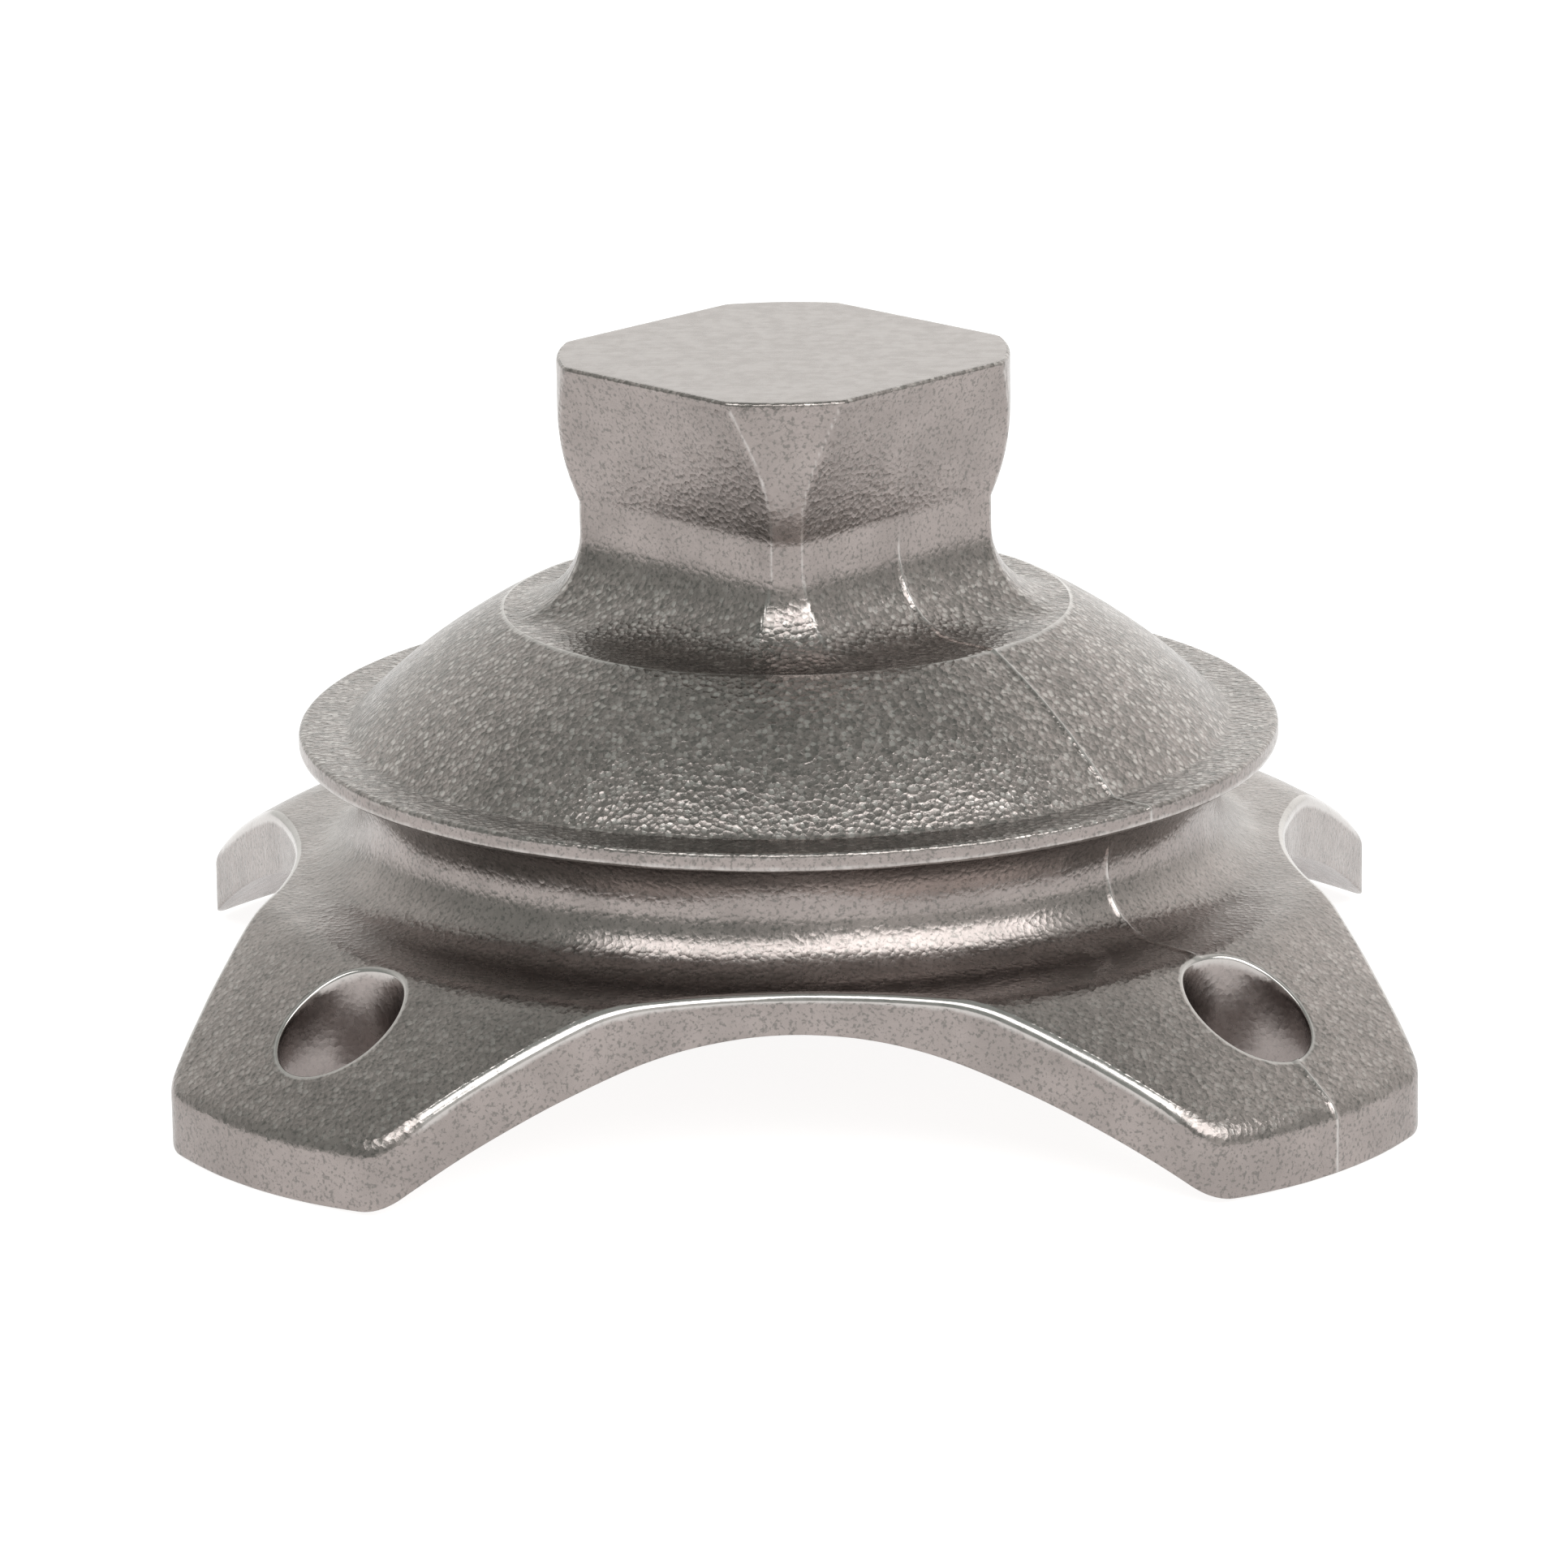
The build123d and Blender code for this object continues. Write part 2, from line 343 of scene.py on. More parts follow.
def build_head(store):
    """Top face, edge break, leaning faces, neck and flare. Returns the last row."""
    top_half = HEAD_TOP_HALF - HEAD_EDGE_ROUND
    outer = head_row(top_half, CORNER_TOP_RADIUS - HEAD_EDGE_ROUND, HEAD_TOP_Z)
    centre = store.add(np.array([[0.0, 0.0, HEAD_TOP_Z]]), machined=1.0)[0]
    row = store.add(outer * (0.1, 0.1, 1), machined=1.0)
    store.fan(row, np.roll(row, -1), centre)
    for scale in (0.3, 0.5, 0.7, 0.85, 0.95, 0.985):
        row = store.below(row, outer * (scale, scale, 1), machined=1.0)
    row = store.below(row, outer, TOP_BORDER_WEAR_AND_HIGHLIGHT, 1.0)
    for degrees in (18, 36, 54, 72, 90):
        turn = math.radians(degrees)
        out = HEAD_EDGE_ROUND * (1 - math.sin(turn))
        z = HEAD_TOP_Z - HEAD_EDGE_ROUND * (1 - math.cos(turn))
        points = head_row(HEAD_TOP_HALF - out, CORNER_TOP_RADIUS - out, z)
        row = store.below(row, points, TOP_EDGE_WEAR_AND_HIGHLIGHT)
    levels = [(face_half(z), z) for z in steps(HEAD_TOP_Z - HEAD_EDGE_ROUND, FLARE_TOP_Z, ROW_PITCH)[1:]]
    for turn in steps(0, math.pi / 2, ROW_PITCH / FLARE_RADIUS)[1:]:
        out = FLARE_RADIUS * (1 - math.cos(turn))
        levels.append((NECK_HALF + out, FLARE_TOP_Z - FLARE_RADIUS * math.sin(turn)))
    for half, z in levels:
        corner = corner_radius(z)
        points = head_row(half, corner, z)
        row = store.below(row, points, strip_edge_wear_and_highlight(points, half, corner))
    return row


# ---------------------------------------------------------------- turned body
def arc(centre, radius, start, end, pitch):
    """Points (r, z) of an arc, angles in radians, without its first point."""
    count = max(2, round(abs(end - start) * radius / pitch))
    angles = [start + (end - start) * i / count for i in range(1, count + 1)]
    return [(centre[0] + radius * math.cos(a), centre[1] + radius * math.sin(a)) for a in angles]


def fillet(corner, before, after, radius):
    """Points (r, z) of the round that replaces a corner between two nearly straight runs."""
    corner, before, after = Vector(corner), Vector(before), Vector(after)
    a, b = (before - corner).normalized(), (after - corner).normalized()
    half = a.angle(b) / 2
    reach = radius / math.tan(half)
    start, end = corner + a * reach, corner + b * reach
    centre = corner + (a + b).normalized() * (radius / math.sin(half))
    turn = math.pi - 2 * half
    count = max(3, math.ceil(turn / math.radians(18)))
    points = []
    for i in range(count + 1):
        t = i / count
        out = (start - centre) * math.sin((1 - t) * turn) + (end - centre) * math.sin(t * turn)
        points.append(tuple(centre + out / math.sin(turn)))
    return points


def dome_point(r):
    return (r, DOME_CENTRE_Z + math.sqrt(DOME_RADIUS**2 - r * r))


def with_wear_and_highlight(points, wear_and_highlight):
    """Points (r, z) with the same wear and painted highlight added to each."""
    return [(*point, wear_and_highlight) for point in points]


def body_profile():
    """(r, z, wear and painted highlight) down the turned body, from the ring's edge to where the plate
    starts.
    """
    ring = (RING_RADIUS, RING_Z)
    foot = (DOME_FOOT_RADIUS, BRIM_TOP_Z)
    brim_up, brim_down = (BRIM_RADIUS, BRIM_TOP_Z), (BRIM_RADIUS, BRIM_BOTTOM_Z)
    cove_start = math.pi - math.asin((BRIM_BOTTOM_Z - COVE_Z) / COVE_RADIUS)
    cove_end = math.pi + math.acos((COVE_R - JOIN_RADIUS) / COVE_RADIUS)
    under = (COVE_R + COVE_RADIUS * math.cos(cove_start), BRIM_BOTTOM_Z)
    ring_round = fillet(ring, (RING_RADIUS - 1, RING_Z), dome_point(RING_RADIUS + 1), RING_ROUND)
    foot_round = fillet(foot, dome_point(DOME_FOOT_RADIUS - 1), brim_up, DOME_FOOT_FILLET)
    upper_round = fillet(brim_up, foot, brim_down, BRIM_ROUND)
    lower_round = fillet(brim_down, brim_up, under, BRIM_ROUND)
    dome = [dome_point(r) for r in steps(ring_round[-1][0], foot_round[0][0], DOME_PITCH)[1:-1]]
    brim_top = [(r, BRIM_TOP_Z) for r in steps(foot_round[-1][0], upper_round[0][0], ROW_PITCH)[1:-1]]
    brim_wall = [(BRIM_RADIUS, z) for z in steps(upper_round[-1][1], lower_round[0][1], 0.2)[1:-1]]
    brim_under = [(r, BRIM_BOTTOM_Z) for r in steps(lower_round[-1][0], under[0], 0.25)[1:]]
    return (
        with_wear_and_highlight(ring_round, RING_WEAR_AND_HIGHLIGHT)
        + with_wear_and_highlight(dome, 0.0)
        + with_wear_and_highlight(foot_round, DOME_FOOT_WEAR_AND_HIGHLIGHT)
        + with_wear_and_highlight(brim_top, BRIM_FACE_WEAR_AND_HIGHLIGHT)
        + with_wear_and_highlight(upper_round, BRIM_UPPER_WEAR_AND_HIGHLIGHT)
        + with_wear_and_highlight(brim_wall, BRIM_FACE_WEAR_AND_HIGHLIGHT)
        + with_wear_and_highlight(lower_round, BRIM_LOWER_WEAR_AND_HIGHLIGHT)
        + with_wear_and_highlight(brim_under, 0.0)
        + with_wear_and_highlight(arc((COVE_R, COVE_Z), COVE_RADIUS, cove_start, cove_end, ROW_PITCH), 0.0)
    )


def build_body(store, row):
    """Flat ring, then the turned body. Returns the row that the plate's top surface starts from."""
    profile = body_profile()
    inner = np.concatenate(store.points)[row]
    outer = circle_row(profile[0][0], profile[0][1])
    for share in steps(0, 1, 0.15)[1:-1]:
        row = store.below(row, inner * (1 - share) + outer * share)
    for r, z, wear_and_highlight in profile:
        row = store.below(row, circle_row(r, z), wear_and_highlight)
    return row


# ---------------------------------------------------------------- plate
def top_height(r):
    """Height of the plate's upper surface, from the lower half of the cove outward."""
    in_cove = COVE_Z - np.sqrt(np.maximum(COVE_RADIUS**2 - np.minimum(r - COVE_R, 0) ** 2, 0))
    land = in_cove - LAND_DROP * np.maximum(r - COVE_R, 0) / (LAND_RADIUS - COVE_R)
    sphere = PLATE_TOP_Z + np.sqrt(PLATE_TOP_RADIUS**2 - r * r)
    return smooth_min(land, sphere, LAND_BLEND)


def under_height(r):
    """Height of the plate's spherical underside."""
    return PLATE_BOTTOM_Z + np.sqrt(PLATE_BOTTOM_RADIUS**2 - r * r)


def padded_height(flat):
    """Height of the underside at points (x, y), with the flat pad round each hole."""
    sphere = under_height(radius_of(flat))
    off = radius_of(np.abs(flat) - HOLE_CIRCLE / math.sqrt(2))
    past_edge = -smooth_min(PAD_RADIUS - off, np.zeros(len(off)), PAD_EDGE_BLEND)
    return smooth_min(sphere, PAD_Z + past_edge * PAD_RISE / PAD_DRAFT, PAD_ROOT_BLEND)


def half_outline():
    """Points and outward normals from the middle of a scallop (+Y) to a foot's axis (45 degrees)."""
    flank_dir = direction(FLANK)
    flank_out = np.array([-math.sin(FLANK), math.cos(FLANK)])
    scallop_centre = np.array([0.0, SCALLOP_NECK + SCALLOP_RADIUS])
    start = scallop_centre - SCALLOP_RADIUS * flank_out
    end_centre = np.full(2, (FOOT_REACH - FOOT_END_RADIUS) / math.sqrt(2))
    base = start - FOOT_CORNER * flank_out - end_centre
    along = base @ flank_dir
    run = -along + math.sqrt(along**2 - base @ base + (FOOT_END_RADIUS - FOOT_CORNER) ** 2)
    corner_centre = start + run * flank_dir - FOOT_CORNER * flank_out
    to_end = (corner_centre - end_centre) / np.linalg.norm(corner_centre - end_centre)
    points, normals = [], []
    for turn in steps(0, FLANK, OUTLINE_PITCH / SCALLOP_RADIUS)[:-1]:
        out = np.array([-math.sin(turn), math.cos(turn)])
        points.append(scallop_centre - SCALLOP_RADIUS * out)
        normals.append(out)
    for along in steps(0, run, OUTLINE_PITCH)[:-1]:
        points.append(start + along * flank_dir)
        normals.append(flank_out)
    first, last = math.atan2(flank_out[1], flank_out[0]), math.atan2(to_end[1], to_end[0])
    for turn in steps(first, last, FOOT_CORNER_PITCH / FOOT_CORNER)[:-1]:
        out = direction(turn)
        points.append(corner_centre + FOOT_CORNER * out)
        normals.append(out)
    near_axis = math.pi / 4 + math.asin(SEAM_OFFSETS[-1] / FOOT_END_RADIUS)
    turns = steps(last, near_axis, OUTLINE_PITCH / FOOT_END_RADIUS)[:-1]
    turns += [math.pi / 4 + math.asin(w / FOOT_END_RADIUS) for w in reversed(SEAM_OFFSETS)]
    for turn in turns:
        out = direction(turn)
        points.append(end_centre + FOOT_END_RADIUS * out)
        normals.append(out)
    return np.array(points), np.array(normals)


def plate_outline():
    """The closed outline, anticlockwise, with its outward normals and how near a tip each point is."""
    points, normals = half_outline()
    mirrored, mirrored_normals = points[::-1, ::-1][1:], normals[::-1, ::-1][1:]
    foot = np.concatenate([points, mirrored])[:-1][::-1]
    foot_normals = np.concatenate([normals, mirrored_normals])[:-1][::-1]
    # one foot from just after the +X scallop to the +Y one, repeated by quarter turns
    all_points, all_normals = [], []
    for quarter in range(4):
        c, s = round(math.cos(quarter * math.pi / 2)), round(math.sin(quarter * math.pi / 2))
        turn = np.array([[c, s], [-s, c]])
        all_points.append(foot @ turn)
        all_normals.append(foot_normals @ turn)
    points, normals = np.concatenate(all_points), np.concatenate(all_normals)
    tip_share = np.clip((radius_of(points) - TIP_START) / TIP_BLEND, 0, 1)
    return points, normals, tip_share * tip_share * (3 - 2 * tip_share)


def build_rim(store):
    """Rounded upper rim, wall and lower edge of the plate. Returns the inner rows, top and bottom."""
    points, normals, tip_share = plate_outline()
    rounds = RIM_ROUND + (TIP_ROUND - RIM_ROUND) * tip_share

    def place(inset):
        return points - normals * np.asarray(inset).reshape(-1, 1)

    def top_of(flat):
        return top_height(radius_of(flat))

    def under_of(flat):
        return under_height(radius_of(flat))

    flat = place(rounds + 0.22)
    first = store.add(lifted(flat, top_of(flat)))
    flat = place(rounds)
    row = store.below(first, lifted(flat, top_of(flat)), RIM_START_WEAR_AND_HIGHLIGHT * (1 - tip_share))
    for degrees in (15, 30, 45, 60, 75, 90):
        turn = math.radians(degrees)
        flat = place(rounds * (1 - math.sin(turn)))
        z = top_of(flat) - rounds * (1 - math.cos(turn))
        row = store.below(row, lifted(flat, z), RIM_WEAR_AND_HIGHLIGHT * (1 - 0.8 * tip_share))
    upper = top_of(points) - rounds
    lower = under_of(points) + UNDER_ROUND
    for share in steps(0, 1, 0.14)[1:]:
        row = store.below(row, lifted(points, upper * (1 - share) + lower * share))
    for degrees in (30, 60, 90):
        turn = math.radians(degrees)
        flat = place(UNDER_ROUND * (1 - math.cos(turn)))
        z = under_of(flat) + UNDER_ROUND * (1 - math.sin(turn))
        row = store.below(row, lifted(flat, z), UNDER_RIM_WEAR_AND_HIGHLIGHT)
    flat = place(UNDER_ROUND + 0.25)
    return first, store.below(row, lifted(flat, under_of(flat)))


def build_hole(store, centre):
    """Rounded rims and wall of one hole. Returns its outer rows on the top and on the underside."""
    ring = circle(-np.arange(HOLE_COLUMNS) * 2 * math.pi / HOLE_COLUMNS)

    def at(radius):
        return centre + ring * radius

    def top_of(flat):
        return top_height(radius_of(flat))

    flat = at(HOLE_RADIUS + HOLE_ROUND + 0.2)
    first = row = store.add(lifted(flat, top_of(flat)))
    for degrees in (0, 22, 45, 68, 90):
        turn = math.radians(degrees)
        flat = at(HOLE_RADIUS + HOLE_ROUND * (1 - math.sin(turn)))
        z = top_of(flat) - HOLE_ROUND * (1 - math.cos(turn))
        row = store.below(row, lifted(flat, z), HOLE_UPPER_WEAR_AND_HIGHLIGHT)
    flat = at(HOLE_RADIUS)
    upper = top_of(flat) - HOLE_ROUND
    lower = padded_height(flat) + HOLE_ROUND
    for share in steps(0, 1, 0.12)[1:]:
        points = lifted(flat, upper * (1 - share) + lower * share)
        row = store.below(row, points, HOLE_WALL_WEAR_AND_HIGHLIGHT, HOLE_WALL_MACHINED)
    for degrees in (30, 60, 90):
        turn = math.radians(degrees)
        flat = at(HOLE_RADIUS + HOLE_ROUND * (1 - math.cos(turn)))
        z = padded_height(flat) + HOLE_ROUND * (1 - math.sin(turn))
        row = store.below(row, lifted(flat, z), HOLE_LOWER_WEAR_AND_HIGHLIGHT)
    flat = at(HOLE_RADIUS + HOLE_ROUND + 0.3)
    return first, store.below(row, lifted(flat, padded_height(flat)))


def build_pocket(store):
    """Cored pocket under the dome. Returns the row of its mouth on the underside."""
    ring = circle(np.arange(POCKET_COLUMNS) * 2 * math.pi / POCKET_COLUMNS)

    def under_point(r):
        return (r, float(under_height(r)))

    roof_z = BRIM_TOP_Z + POCKET_ROOF_RISE
    roof_edge = (POCKET_RADIUS - POCKET_DRAFT, roof_z)
    mouth_edge = under_point(POCKET_RADIUS)
    mouth = fillet(mouth_edge, under_point(POCKET_RADIUS + 1), roof_edge, MOUTH_ROUND)
    roof = fillet(roof_edge, mouth_edge, (0, roof_z), POCKET_ROUND)
    profile = [*mouth]
    for share in steps(0, 1, 0.25)[1:-1]:
        profile.append(tuple(Vector(mouth[-1]).lerp(Vector(roof[0]), share)))
    profile += roof
    profile += [(r, roof_z) for r in steps(roof[-1][0], 0.5, 0.9)[1:]]
    r, z = under_point(POCKET_RADIUS + 0.8)
    first = row = store.add(lifted(r * ring, np.full(POCKET_COLUMNS, z)))
    for r, z in profile:
        row = store.below(row, lifted(r * ring, np.full(POCKET_COLUMNS, z)))
    centre = store.add(np.array([[0.0, 0.0, roof_z]]))[0]
    store.fan(np.roll(row, -1), row, centre)
    return first


# ---------------------------------------------------------------- sheets between the rows
def grid_points(pitch):
    """Points of a triangular grid that covers the plate."""
    row_pitch = pitch * math.sqrt(0.75)
    out = []
    for j in range(int(2 * FOOT_REACH / row_pitch) + 1):
        xs = np.arange(-FOOT_REACH + 0.5 * pitch * (j % 2), FOOT_REACH, pitch)
        out.append(lifted(xs, np.full(len(xs), -FOOT_REACH + j * pitch * math.sqrt(0.75))))
    return np.concatenate(out)


def nearest(points, targets):
    """Distance from each point to the nearest target."""
    best = np.full(len(points), np.inf)
    for chunk in range(0, len(targets), 64):
        d = points[:, None, :] - targets[None, chunk : chunk + 64]
        best = np.minimum(best, np.sqrt((d**2).sum(2)).min(1))
    return best


def inside(points, ring):
    """Which points lie inside a closed polygon."""
    x, y = points[:, 0], points[:, 1]
    ax, ay = ring[:, 0], ring[:, 1]
    bx, by = np.roll(ax, -1), np.roll(ay, -1)
    result = np.zeros(len(points), bool)
    for i in range(len(ring)):
        if ay[i] == by[i]:
            continue
        crosses = (ay[i] > y) != (by[i] > y)
        result ^= crosses & (x < (bx[i] - ax[i]) * (y - ay[i]) / (by[i] - ay[i]) + ax[i])
    return result


def between(points, borders):
    """Which points lie inside the first border and outside all the others."""
    keep = inside(points, borders[0])
    for border in borders[1:]:
        keep &= ~inside(points, border)
    return keep


def seam_points():
    """Grid points in lines along both feet that the mould seam crosses."""
    out = []
    for side in (1, -1):
        along = side * direction(SEAM_ANGLE)
        across = np.array([-along[1], along[0]])
        for offset in SEAM_OFFSETS:
            for sign in (1, -1) if offset else (1,):
                for r in steps(JOIN_RADIUS, FOOT_REACH, SEAM_PITCH):
                    out.append(along * r + across * offset * sign)
    return np.array(out)


def pad_points():
    """Grid points in close circles over the drafted side of each pad."""
    ring = circle(np.arange(PAD_COLUMNS) * 2 * math.pi / PAD_COLUMNS)
    out = []
    for quarter in range(4):
        out += [hole_centre(quarter) + ring * (PAD_RADIUS + past) for past in PAD_RING_OFFSETS]
    return np.concatenate(out)


def fill_sheet(store, outer, inners, extra, pitch, height, facing_up):
    """Triangles between an outer row and inner rows, over points lifted to a height function."""
    everything = np.concatenate(store.points)
    borders = [everything[row][:, :2] for row in (outer, *inners)]
    edge = np.concatenate(borders)
    grid = grid_points(pitch)
    grid = grid[between(grid, borders)]
    grid = grid[nearest(grid, edge) > BORDER_GAP * pitch]
    extra = extra[between(extra, borders)]
    extra = extra[nearest(extra, edge) > EXTRA_GAP]
    grid = grid[nearest(grid, extra) > BORDER_GAP * pitch]
    grid = np.concatenate([grid, extra])
    new = store.add(lifted(grid, height(grid)))
    indices = np.concatenate([outer, *inners, new])
    flat = np.concatenate([edge, grid])
    edges, start = [], 0
    for border in borders:
        n = len(border)
        edges += [(start + i, start + (i + 1) % n) for i in range(n)]
        start += n
    result = delaunay_2d_cdt([Vector(p) for p in flat], edges, [], 0, 1e-7, True)
    vertices, triangles, origin = result[0], result[2], result[3]
    back = np.array([ids[0] for ids in origin])
    triangles = np.array([t for t in triangles if len(t) == 3])
    places = np.array([tuple(v) for v in vertices])
    triangles = triangles[between(places[triangles].mean(1), borders)]
    if not facing_up:
        triangles = triangles[:, ::-1]
    store.faces += indices[back[triangles]].tolist()


def build_casting():
    """The whole closed surface of the casting, in millimetres."""
    store = Store()
    join = build_body(store, build_head(store))
    rim_top, rim_bottom = build_rim(store)
    holes = [build_hole(store, hole_centre(quarter)) for quarter in range(4)]
    tops = [top for top, bottom in holes]
    bottoms = [bottom for top, bottom in holes]
    mouth = build_pocket(store)

    def plate_top(flat):
        return top_height(radius_of(flat))

    fill_sheet(store, rim_top, [join, *tops], seam_points(), TOP_PITCH, plate_top, True)
    fill_sheet(store, rim_bottom, [mouth, *bottoms], pad_points(), UNDER_PITCH, padded_height, False)
    return store


# ---------------------------------------------------------------- casting
def vertex_normals(points, faces):
    """Unit normals at the vertices, averaged over the faces around each."""
    normals = np.zeros_like(points)
    for size in (3, 4):
        group = np.array([f for f in faces if len(f) == size])
        a, b, c = points[group[:, 0]], points[group[:, 1]], points[group[:, 2]]
        across = np.cross(b - a, c - a)
        if size == 4:
            across += np.cross(c - a, points[group[:, 3]] - a)
        for corner in range(size):
            np.add.at(normals, group[:, corner], across)
    return normals / np.linalg.norm(normals, axis=1, keepdims=True)


def seam_height(points, normals):
    """Height of the mould seam, a low ridge over the feet, body and head in one upright plane."""
    across = points @ np.array([-math.sin(SEAM_ANGLE), math.cos(SEAM_ANGLE), 0])
    levels = (BRIM_TOP_Z, RING_Z, FLARE_TOP_Z, NECK_TOP_Z)
    height = np.interp(points[:, 2], levels, (SEAM_RISE, SEAM_RISE, FLARE_SEAM_RISE, FACE_SEAM_RISE))
    height *= points[:, 2] < HEAD_TOP_Z - 2 * HEAD_EDGE_ROUND
    height *= np.clip((radius_of(points) - 6) / 2, 0, 1)
    height *= np.clip((normals[:, 2] + 0.5) * 4, 0, 1)
    in_hole = np.zeros(len(points), bool)
    for quarter in (0, 2):
        in_hole |= radius_of(points[:, :2] - hole_centre(quarter)) < HOLE_RADIUS + 0.5 * HOLE_ROUND
    return np.where(in_hole, 0, height) * np.exp(-((across / SEAM_WIDTH) ** 2))


def blast_share(points, normals):
    """How coarse the blasted grain is, and how much painted sparkle its dimples carry: full on dome and
    flare, weaker on the feet, faint in the cove.
    """
    place = np.interp(radius_of(points), (BRIM_RADIUS, LAND_RADIUS, LAND_RADIUS + 2.5), (0.12, 0.12, 0.5))
    place = np.where(points[:, 2] > BRIM_TOP_Z - 0.3, 1.0, place)
    return place * np.clip((normals[:, 2] - 0.15) / 0.5, 0, 1)


def cast_swell(points):
    """Slow waviness that an investment-cast skin has."""
    wide = [noise.noise(Vector(p) * 0.42) for p in points]
    fine = [noise.noise(Vector(p) * 1.15 + Vector((40, 0, 0))) for p in points]
    return WIDE_SWELL * np.array(wide) + FINE_SWELL * np.array(fine)


def make_casting():
    """The one visible piece, in metres, with the values that its material reads."""
    store = build_casting()
    points = np.concatenate(store.points)
    machined = np.concatenate(store.machined)
    normals = vertex_normals(points, store.faces)
    blasted = blast_share(points, normals)
    seam = seam_height(points, normals)
    # the seam ridge is painted lighter: wear plus a painted highlight line along the seam
    wear_and_highlight = np.maximum(np.concatenate(store.wear_and_highlight), seam * SEAM_WEAR_AND_HIGHLIGHT_PER_MM)
    lift = seam + cast_swell(points) * (1 - machined)
    lift *= np.clip((TOTAL_HEIGHT - points[:, 2]) / 0.4, 0, 1)
    points = points + normals * lift[:, None]
    mesh = bpy.data.meshes.new("pyramid_adapter")
    mesh.from_pydata((points * MM).tolist(), [], store.faces)
    mesh.validate()
    mesh.shade_smooth()
    for name, values in (("wear_and_highlight", wear_and_highlight), ("machined", machined), ("blasted", blasted)):
        attribute = mesh.attributes.new(name, "FLOAT", "POINT")
        attribute.data.foreach_set("value", values.astype(np.float32))
    piece = bpy.data.objects.new("pyramid_adapter_casting", mesh)
    bpy.context.scene.collection.objects.link(piece)
    mesh.materials.append(cast_steel())
    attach(piece, "root")
    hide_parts(NODE)


# ---------------------------------------------------------------- material
class Nodes:
    """Short calls for building one node tree."""

    def __init__(self, tree):
        self.tree = tree
        tree.nodes.clear()

    def put(self, socket, value):
        """Links a socket to another one, or sets its value."""
        if isinstance(value, bpy.types.NodeSocket):
            self.tree.links.new(value, socket)
        else:
            socket.default_value = value

    def add(self, kind, inputs=None, **settings):
        node = self.tree.nodes.new(kind)
        for name, value in settings.items():
            setattr(node, name, value)
        for name, value in (inputs or {}).items():
            self.put(node.inputs[name], value)
        return node

    def math(self, operation, *values):
        return self.add("ShaderNodeMath", dict(enumerate(values)), operation=operation).outputs[0]

    def ramp(self, value, low, high, start=0.0, end=1.0):
        inputs = {"Value": value, "From Min": low, "From Max": high, "To Min": start, "To Max": end}
        return self.add("ShaderNodeMapRange", inputs, interpolation_type="SMOOTHSTEP").outputs[0]

    def noise(self, place, scale, detail=2.0, roughness=0.5):
        inputs = {"Vector": place, "Scale": scale, "Detail": detail, "Roughness": roughness}
        return self.add("ShaderNodeTexNoise", inputs).outputs["Fac"]

    def attribute(self, name):
        return self.add("ShaderNodeAttribute", attribute_name=name).outputs["Fac"]

    def mix(self, share, a, b):
        return self.add("ShaderNodeMix", {0: share, 6: a, 7: b}, data_type="RGBA").outputs[2]


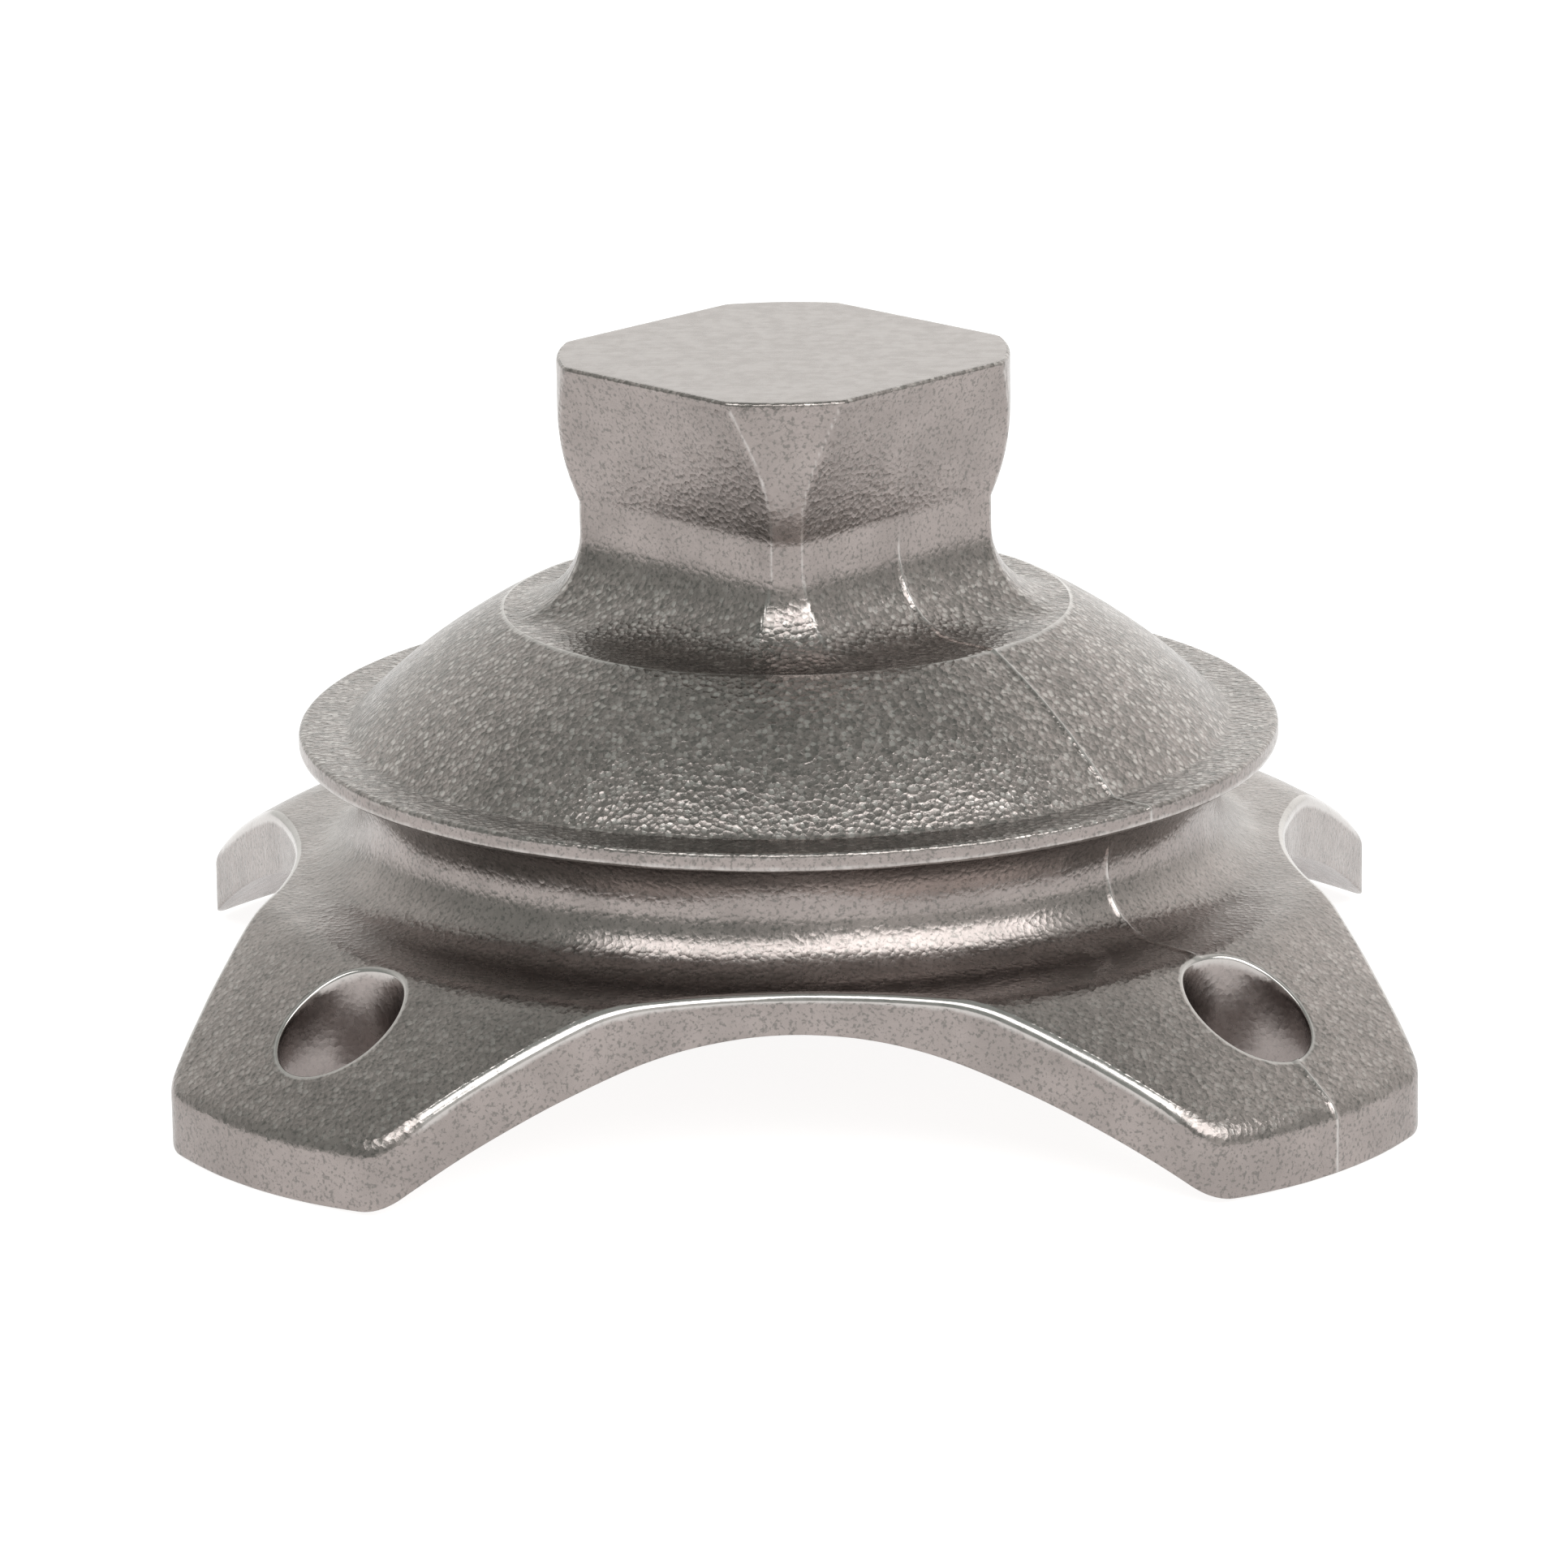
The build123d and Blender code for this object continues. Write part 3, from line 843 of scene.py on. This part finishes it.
def cast_steel():
    """Bead-blasted investment-cast stainless steel: peppered skin, blast dimples with painted glints and
    painted dark sparkle, burnished edges with painted highlight lines, machined top.
    """
    material = bpy.data.materials.new("cast_stainless_steel")
    material.use_nodes = True
    n = Nodes(material.node_tree)
    place = n.add("ShaderNodeTexCoord").outputs["Object"]
    machined = n.attribute("machined")
    coarse = n.attribute("blasted")
    blasting = n.add("ShaderNodeTexVoronoi", {"Vector": place, "Scale": BLAST_SCALE, "Randomness": 1.0})
    dimple = n.math("POWER", blasting.outputs["Distance"], 2.0)
    grain = n.noise(place, GRAIN_SCALE, 2.0, 0.6)
    pits = n.noise(place, PIT_SCALE, 3.0, 0.55)
    cloud = n.noise(place, CLOUD_SCALE, 4.0, 0.6)
    pitted = n.math("MULTIPLY", n.math("SUBTRACT", pits, 0.5), 0.7)
    # edge share: real wear plus painted highlight lines, broken up by the pit noise
    edge = n.ramp(n.math("ADD", n.attribute("wear_and_highlight"), pitted), 0.30, 0.85)

    skin = n.mix(n.ramp(cloud, 0.34, 0.66), DARK_SKIN, LIGHT_SKIN)
    skin = n.mix(n.ramp(grain, 0.34, 0.50, 0.6, 0.0), skin, SPECK)
    # painted sparkle: random blast cells painted darker, and a few painted bright as glints, where the
    # blasting is coarse
    pick = n.add("ShaderNodeSeparateColor", {"Color": blasting.outputs["Color"]}).outputs["Red"]
    dot = n.math("MULTIPLY", n.ramp(blasting.outputs["Distance"], 0.30, 0.72, 1.0, 0.0), coarse)
    painted_dark_sparkle_share = n.math("MULTIPLY", n.ramp(pick, 0.0, 0.6, 0.45, 0.0), coarse)
    skin = n.mix(painted_dark_sparkle_share, skin, PAINTED_DARK_SPARKLE)
    painted_glint_share = n.math("MULTIPLY", n.ramp(pick, 0.50, 0.95, 0.0, 0.40), dot)
    skin = n.mix(painted_glint_share, skin, PAINTED_GLINT)
    # edges painted lighter: burnished metal plus painted highlight lines
    skin = n.mix(n.math("MULTIPLY", edge, 0.8), skin, BURNISHED_AND_HIGHLIGHT)
    colour = n.mix(machined, skin, MACHINED)

    rough = n.ramp(pits, 0.3, 0.7, 0.22, 0.29)
    rough = n.math("SUBTRACT", rough, n.math("MULTIPLY", edge, 0.10))

    stretched = n.add("ShaderNodeMapping", {"Vector": place, "Scale": (0.02, 1.0, 1.0)}).outputs[0]
    lines = n.noise(stretched, LINE_SCALE, 2.0)
    cast_height = n.math("ADD", dimple, n.math("MULTIPLY", grain, 0.45))
    cast_height = n.math("ADD", cast_height, n.math("MULTIPLY", pits, 0.12))
    blasted = n.math("MULTIPLY", n.math("SUBTRACT", 1.0, machined), n.ramp(coarse, 0.0, 1.0, 0.4, 1.0))
    skin_share = n.math("MULTIPLY", blasted, n.math("SUBTRACT", 1.0, n.math("MULTIPLY", edge, 0.92)))
    height = n.math("MULTIPLY", cast_height, skin_share)
    height = n.math("ADD", height, n.math("MULTIPLY", n.math("MULTIPLY", lines, machined), 0.15))
    bump = n.add("ShaderNodeBump", {"Strength": 1.0, "Distance": BUMP_HEIGHT, "Height": height})

    shader = n.add(
        "ShaderNodeBsdfPrincipled",
        {"Base Color": colour, "Metallic": 1.0, "Roughness": rough, "Normal": bump.outputs[0]},
    )
    n.add("ShaderNodeOutputMaterial", {"Surface": shader.outputs[0]})
    return material


# ---------------------------------------------------------------- floor, light, camera
def make_floor():
    """Wide pale floor that gives off light of its own, so that it stays pale all round."""
    half = FLOOR_HALF
    corners = [(-half, -half, 0), (half, -half, 0), (half, half, 0), (-half, half, 0)]
    mesh = bpy.data.meshes.new("floor")
    mesh.from_pydata(corners, [], [(0, 1, 2, 3)])
    floor = bpy.data.objects.new("floor", mesh)
    bpy.context.scene.collection.objects.link(floor)
    material = bpy.data.materials.new("pale_floor")
    material.use_nodes = True
    shader = material.node_tree.nodes["Principled BSDF"]
    shader.inputs["Base Color"].default_value = (0.38, 0.38, 0.38, 1)
    shader.inputs["Roughness"].default_value = 1.0
    shader.inputs["Specular IOR Level"].default_value = 0.0
    shader.inputs["Emission Color"].default_value = (1, 0.99, 0.985, 1)
    shader.inputs["Emission Strength"].default_value = 0.88
    mesh.materials.append(material)


def make_world():
    """Studio surroundings: an even dim room, with soft white light from behind and from the front right."""
    world = bpy.data.worlds.new("studio")
    world.use_nodes = True
    bpy.context.scene.world = world
    n = Nodes(world.node_tree)
    gaze = n.add("ShaderNodeTexCoord").outputs["Generated"]
    total = 0.0
    for axis, power, level in SOFT_LOBES:
        toward = Vector(axis).normalized()
        dot = n.add("ShaderNodeVectorMath", {0: gaze, 1: toward}, operation="DOT_PRODUCT").outputs["Value"]
        lobe = n.math("MULTIPLY", n.math("POWER", n.math("MAXIMUM", dot, 0.0), power), level)
        total = n.math("ADD", lobe, total)
    room = n.add("ShaderNodeBackground", {"Color": (0.93, 1.0, 0.95, 1), "Strength": ROOM_LEVEL})
    glow = n.add("ShaderNodeBackground", {"Color": (1.0, 0.965, 0.95, 1), "Strength": total})
    both = n.add("ShaderNodeAddShader", {0: room.outputs[0], 1: glow.outputs[0]})
    n.add("ShaderNodeOutputWorld", {"Surface": both.outputs[0]})


def soft_box(name, azimuth, elevation, width, height, radiance):
    """Rectangular light aimed at the object, azimuth in degrees from the front towards the right."""
    azimuth, elevation = math.radians(azimuth), math.radians(elevation)
    flat = math.cos(elevation)
    toward = Vector((math.sin(azimuth) * flat, -math.cos(azimuth) * flat, math.sin(elevation)))
    light = bpy.data.lights.new(name, "AREA")
    light.shape = "RECTANGLE"
    light.size, light.size_y = width, height
    light.energy = radiance * math.pi * width * height
    box = bpy.data.objects.new(name, light)
    box.location = toward * BOX_DISTANCE
    box.rotation_euler = toward.to_track_quat("Z", "Y").to_euler()
    bpy.context.scene.collection.objects.link(box)


def make_lights():
    soft_box("front_right_box", 38, 44, 0.60, 0.34, 3.4)
    soft_box("front_left_box", -30, 50, 0.40, 0.26, 3.0)


def make_camera():
    """Long lens a little above the object, facing its front and rolled slightly."""
    aim = Vector((AIM_X, 0, BRIM_TOP_Z - AIM_BELOW_BRIM))
    right = Matrix.Rotation(CAMERA_AZIMUTH, 3, "Z") @ Vector((1, 0, 0))
    flat_back = Vector((0, -math.cos(CAMERA_ELEVATION), math.sin(CAMERA_ELEVATION)))
    back = Matrix.Rotation(CAMERA_AZIMUTH, 3, "Z") @ flat_back
    up = back.cross(right)
    tilted_right = math.cos(CAMERA_ROLL) * right - math.sin(CAMERA_ROLL) * up
    tilted_up = math.sin(CAMERA_ROLL) * right + math.cos(CAMERA_ROLL) * up
    data = bpy.data.cameras.new("camera")
    data.sensor_width = SENSOR_WIDTH
    data.lens = 0.5 * SENSOR_WIDTH / HALF_VIEW_TANGENT
    data.clip_start, data.clip_end = 0.01, 20
    camera = bpy.data.objects.new("camera", data)
    axes = Matrix((tilted_right, tilted_up, back)).transposed()
    camera.matrix_world = Matrix.Translation((aim + back * CAMERA_DISTANCE) * MM) @ axes.to_4x4()
    bpy.context.scene.collection.objects.link(camera)
    bpy.context.scene.camera = camera


make_casting()
make_floor()
make_world()
make_lights()
make_camera()
bpy.context.scene.view_settings.view_transform = "Standard"
bpy.context.scene.view_settings.look = "None"
